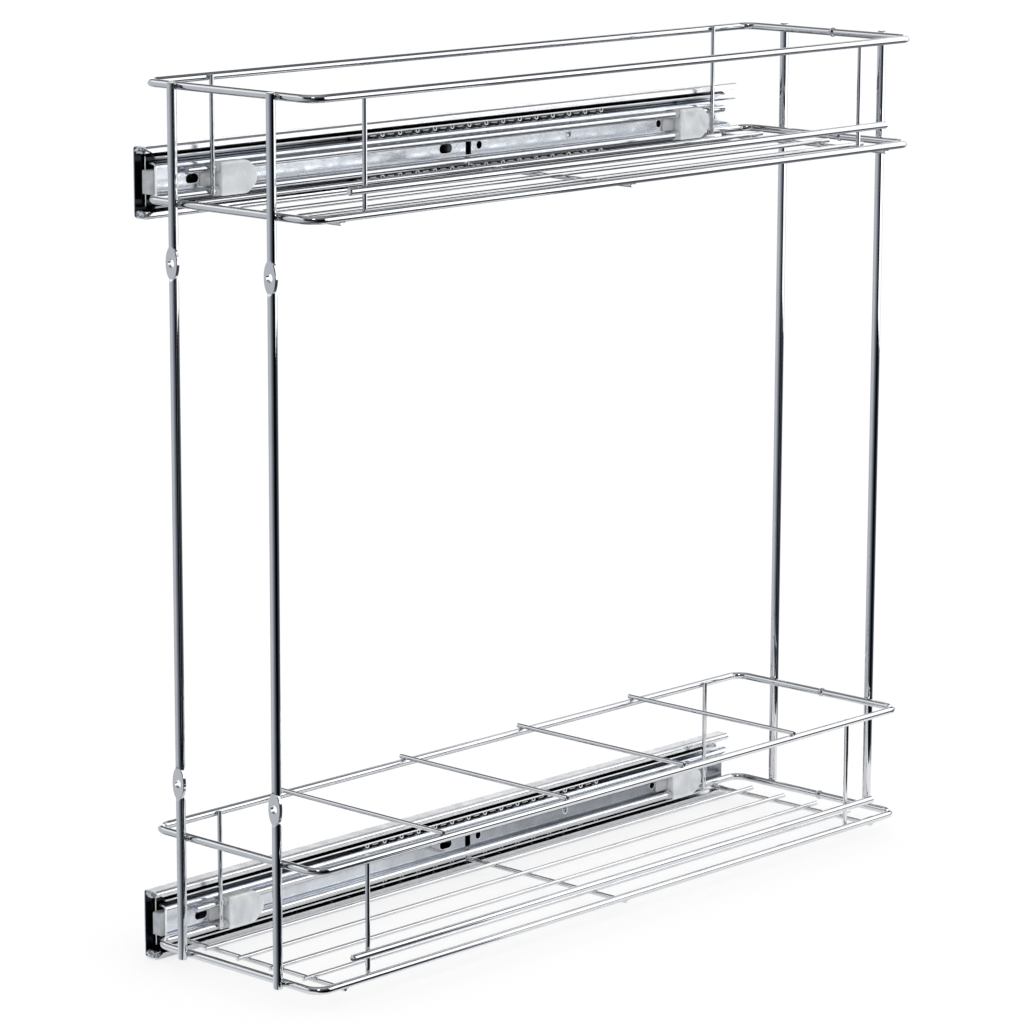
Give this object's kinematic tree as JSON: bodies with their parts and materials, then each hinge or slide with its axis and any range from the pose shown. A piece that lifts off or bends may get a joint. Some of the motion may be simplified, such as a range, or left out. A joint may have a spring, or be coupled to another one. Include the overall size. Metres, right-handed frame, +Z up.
{
  "type": "pull-out bottle rack",
  "caption": "Pull-out bottle rack for a narrow kitchen cabinet: two chrome wire baskets on four posts, side-mounted on telescopic ball-bearing slides.",
  "frame": {"origin": "centre of the four outer wall-screw holes, on the wall plane at the back of the two cabinet rails", "axes": "+X from the cabinet wall towards the rack, +Y to the rear of the cabinet (the rack pulls out along -Y), +Z up"},
  "size_m": [0.1665, 0.586, 0.5649],
  "materials": {
    "chrome_wire": "bright chrome plate on steel wire",
    "zinc_rail": "bright zinc plate, faint rolling marks",
    "cage_steel": "bright zinc plate",
    "ball_steel": "polished steel",
    "rivet_steel": "zinc plate",
    "clip_plastic": "milky, slightly translucent",
    "bumper_plastic": "moulded grey"
  },
  "bodies": {
    "cabinet_side": {"lower_slide_cabinet_rail": "zinc_rail", "upper_slide_cabinet_rail": "zinc_rail"},
    "rack": {"front_left_post": "chrome_wire", "front_right_post": "chrome_wire", "lower_basket_base_loop": "chrome_wire", "lower_basket_carrier_wire": "chrome_wire", "lower_basket_cross_wires": "chrome_wire", "lower_basket_dividers": "chrome_wire", "lower_basket_floor_wires": "chrome_wire", "lower_basket_guard_wire": "chrome_wire", "lower_basket_rim": "chrome_wire", "lower_basket_uprights": "chrome_wire", "lower_slide_clip_rivets": "rivet_steel", "lower_slide_front_bumper": "bumper_plastic", "lower_slide_front_clip": "clip_plastic", "lower_slide_rack_rail": "zinc_rail", "lower_slide_rear_clip": "clip_plastic", "rear_left_post": "chrome_wire", "rear_right_post": "chrome_wire", "upper_basket_base_loop": "chrome_wire", "upper_basket_carrier_wire": "chrome_wire", "upper_basket_cross_wires": "chrome_wire", "upper_basket_floor_wires": "chrome_wire", "upper_basket_guard_wire": "chrome_wire", "upper_basket_rim": "chrome_wire", "upper_basket_uprights": "chrome_wire", "upper_slide_clip_rivets": "rivet_steel", "upper_slide_front_bumper": "bumper_plastic", "upper_slide_front_clip": "clip_plastic", "upper_slide_rack_rail": "zinc_rail", "upper_slide_rear_clip": "clip_plastic"},
    "upper_middle": {"upper_slide_middle_rail": "zinc_rail"},
    "lower_middle": {"lower_slide_middle_rail": "zinc_rail"},
    "upper_outer_bearing": {"upper_slide_outer_ball_cage": "cage_steel", "upper_slide_outer_balls": "ball_steel"},
    "lower_outer_bearing": {"lower_slide_outer_ball_cage": "cage_steel", "lower_slide_outer_balls": "ball_steel"},
    "upper_inner_bearing": {"upper_slide_inner_ball_cage": "cage_steel", "upper_slide_inner_balls": "ball_steel"},
    "lower_inner_bearing": {"lower_slide_inner_ball_cage": "cage_steel", "lower_slide_inner_balls": "ball_steel"}
  },
  "joints": [
    {"name": "rack_slide", "type": "slide", "parent": "cabinet_side", "child": "rack", "axis": [0, -1, 0], "range_m": [0, 0.51]},
    {"name": "upper_middle_slide", "type": "slide", "parent": "cabinet_side", "child": "upper_middle", "axis": [0, -1, 0], "range_m": [0, 0.255]},
    {"name": "upper_outer_bearing_slide", "type": "slide", "parent": "cabinet_side", "child": "upper_outer_bearing", "axis": [0, -1, 0], "range_m": [0, 0.1275]},
    {"name": "upper_inner_bearing_slide", "type": "slide", "parent": "cabinet_side", "child": "upper_inner_bearing", "axis": [0, -1, 0], "range_m": [0, 0.3825]},
    {"name": "lower_middle_slide", "type": "slide", "parent": "cabinet_side", "child": "lower_middle", "axis": [0, -1, 0], "range_m": [0, 0.255]},
    {"name": "lower_outer_bearing_slide", "type": "slide", "parent": "cabinet_side", "child": "lower_outer_bearing", "axis": [0, -1, 0], "range_m": [0, 0.1275]},
    {"name": "lower_inner_bearing_slide", "type": "slide", "parent": "cabinet_side", "child": "lower_inner_bearing", "axis": [0, -1, 0], "range_m": [0, 0.3825]}
  ],
  "couplings": [
    {"joint": "upper_middle_slide", "follows": "rack_slide", "ratio": 0.5},
    {"joint": "upper_outer_bearing_slide", "follows": "rack_slide", "ratio": 0.25},
    {"joint": "upper_inner_bearing_slide", "follows": "rack_slide", "ratio": 0.75},
    {"joint": "lower_middle_slide", "follows": "rack_slide", "ratio": 0.5},
    {"joint": "lower_outer_bearing_slide", "follows": "rack_slide", "ratio": 0.25},
    {"joint": "lower_inner_bearing_slide", "follows": "rack_slide", "ratio": 0.75}
  ]
}
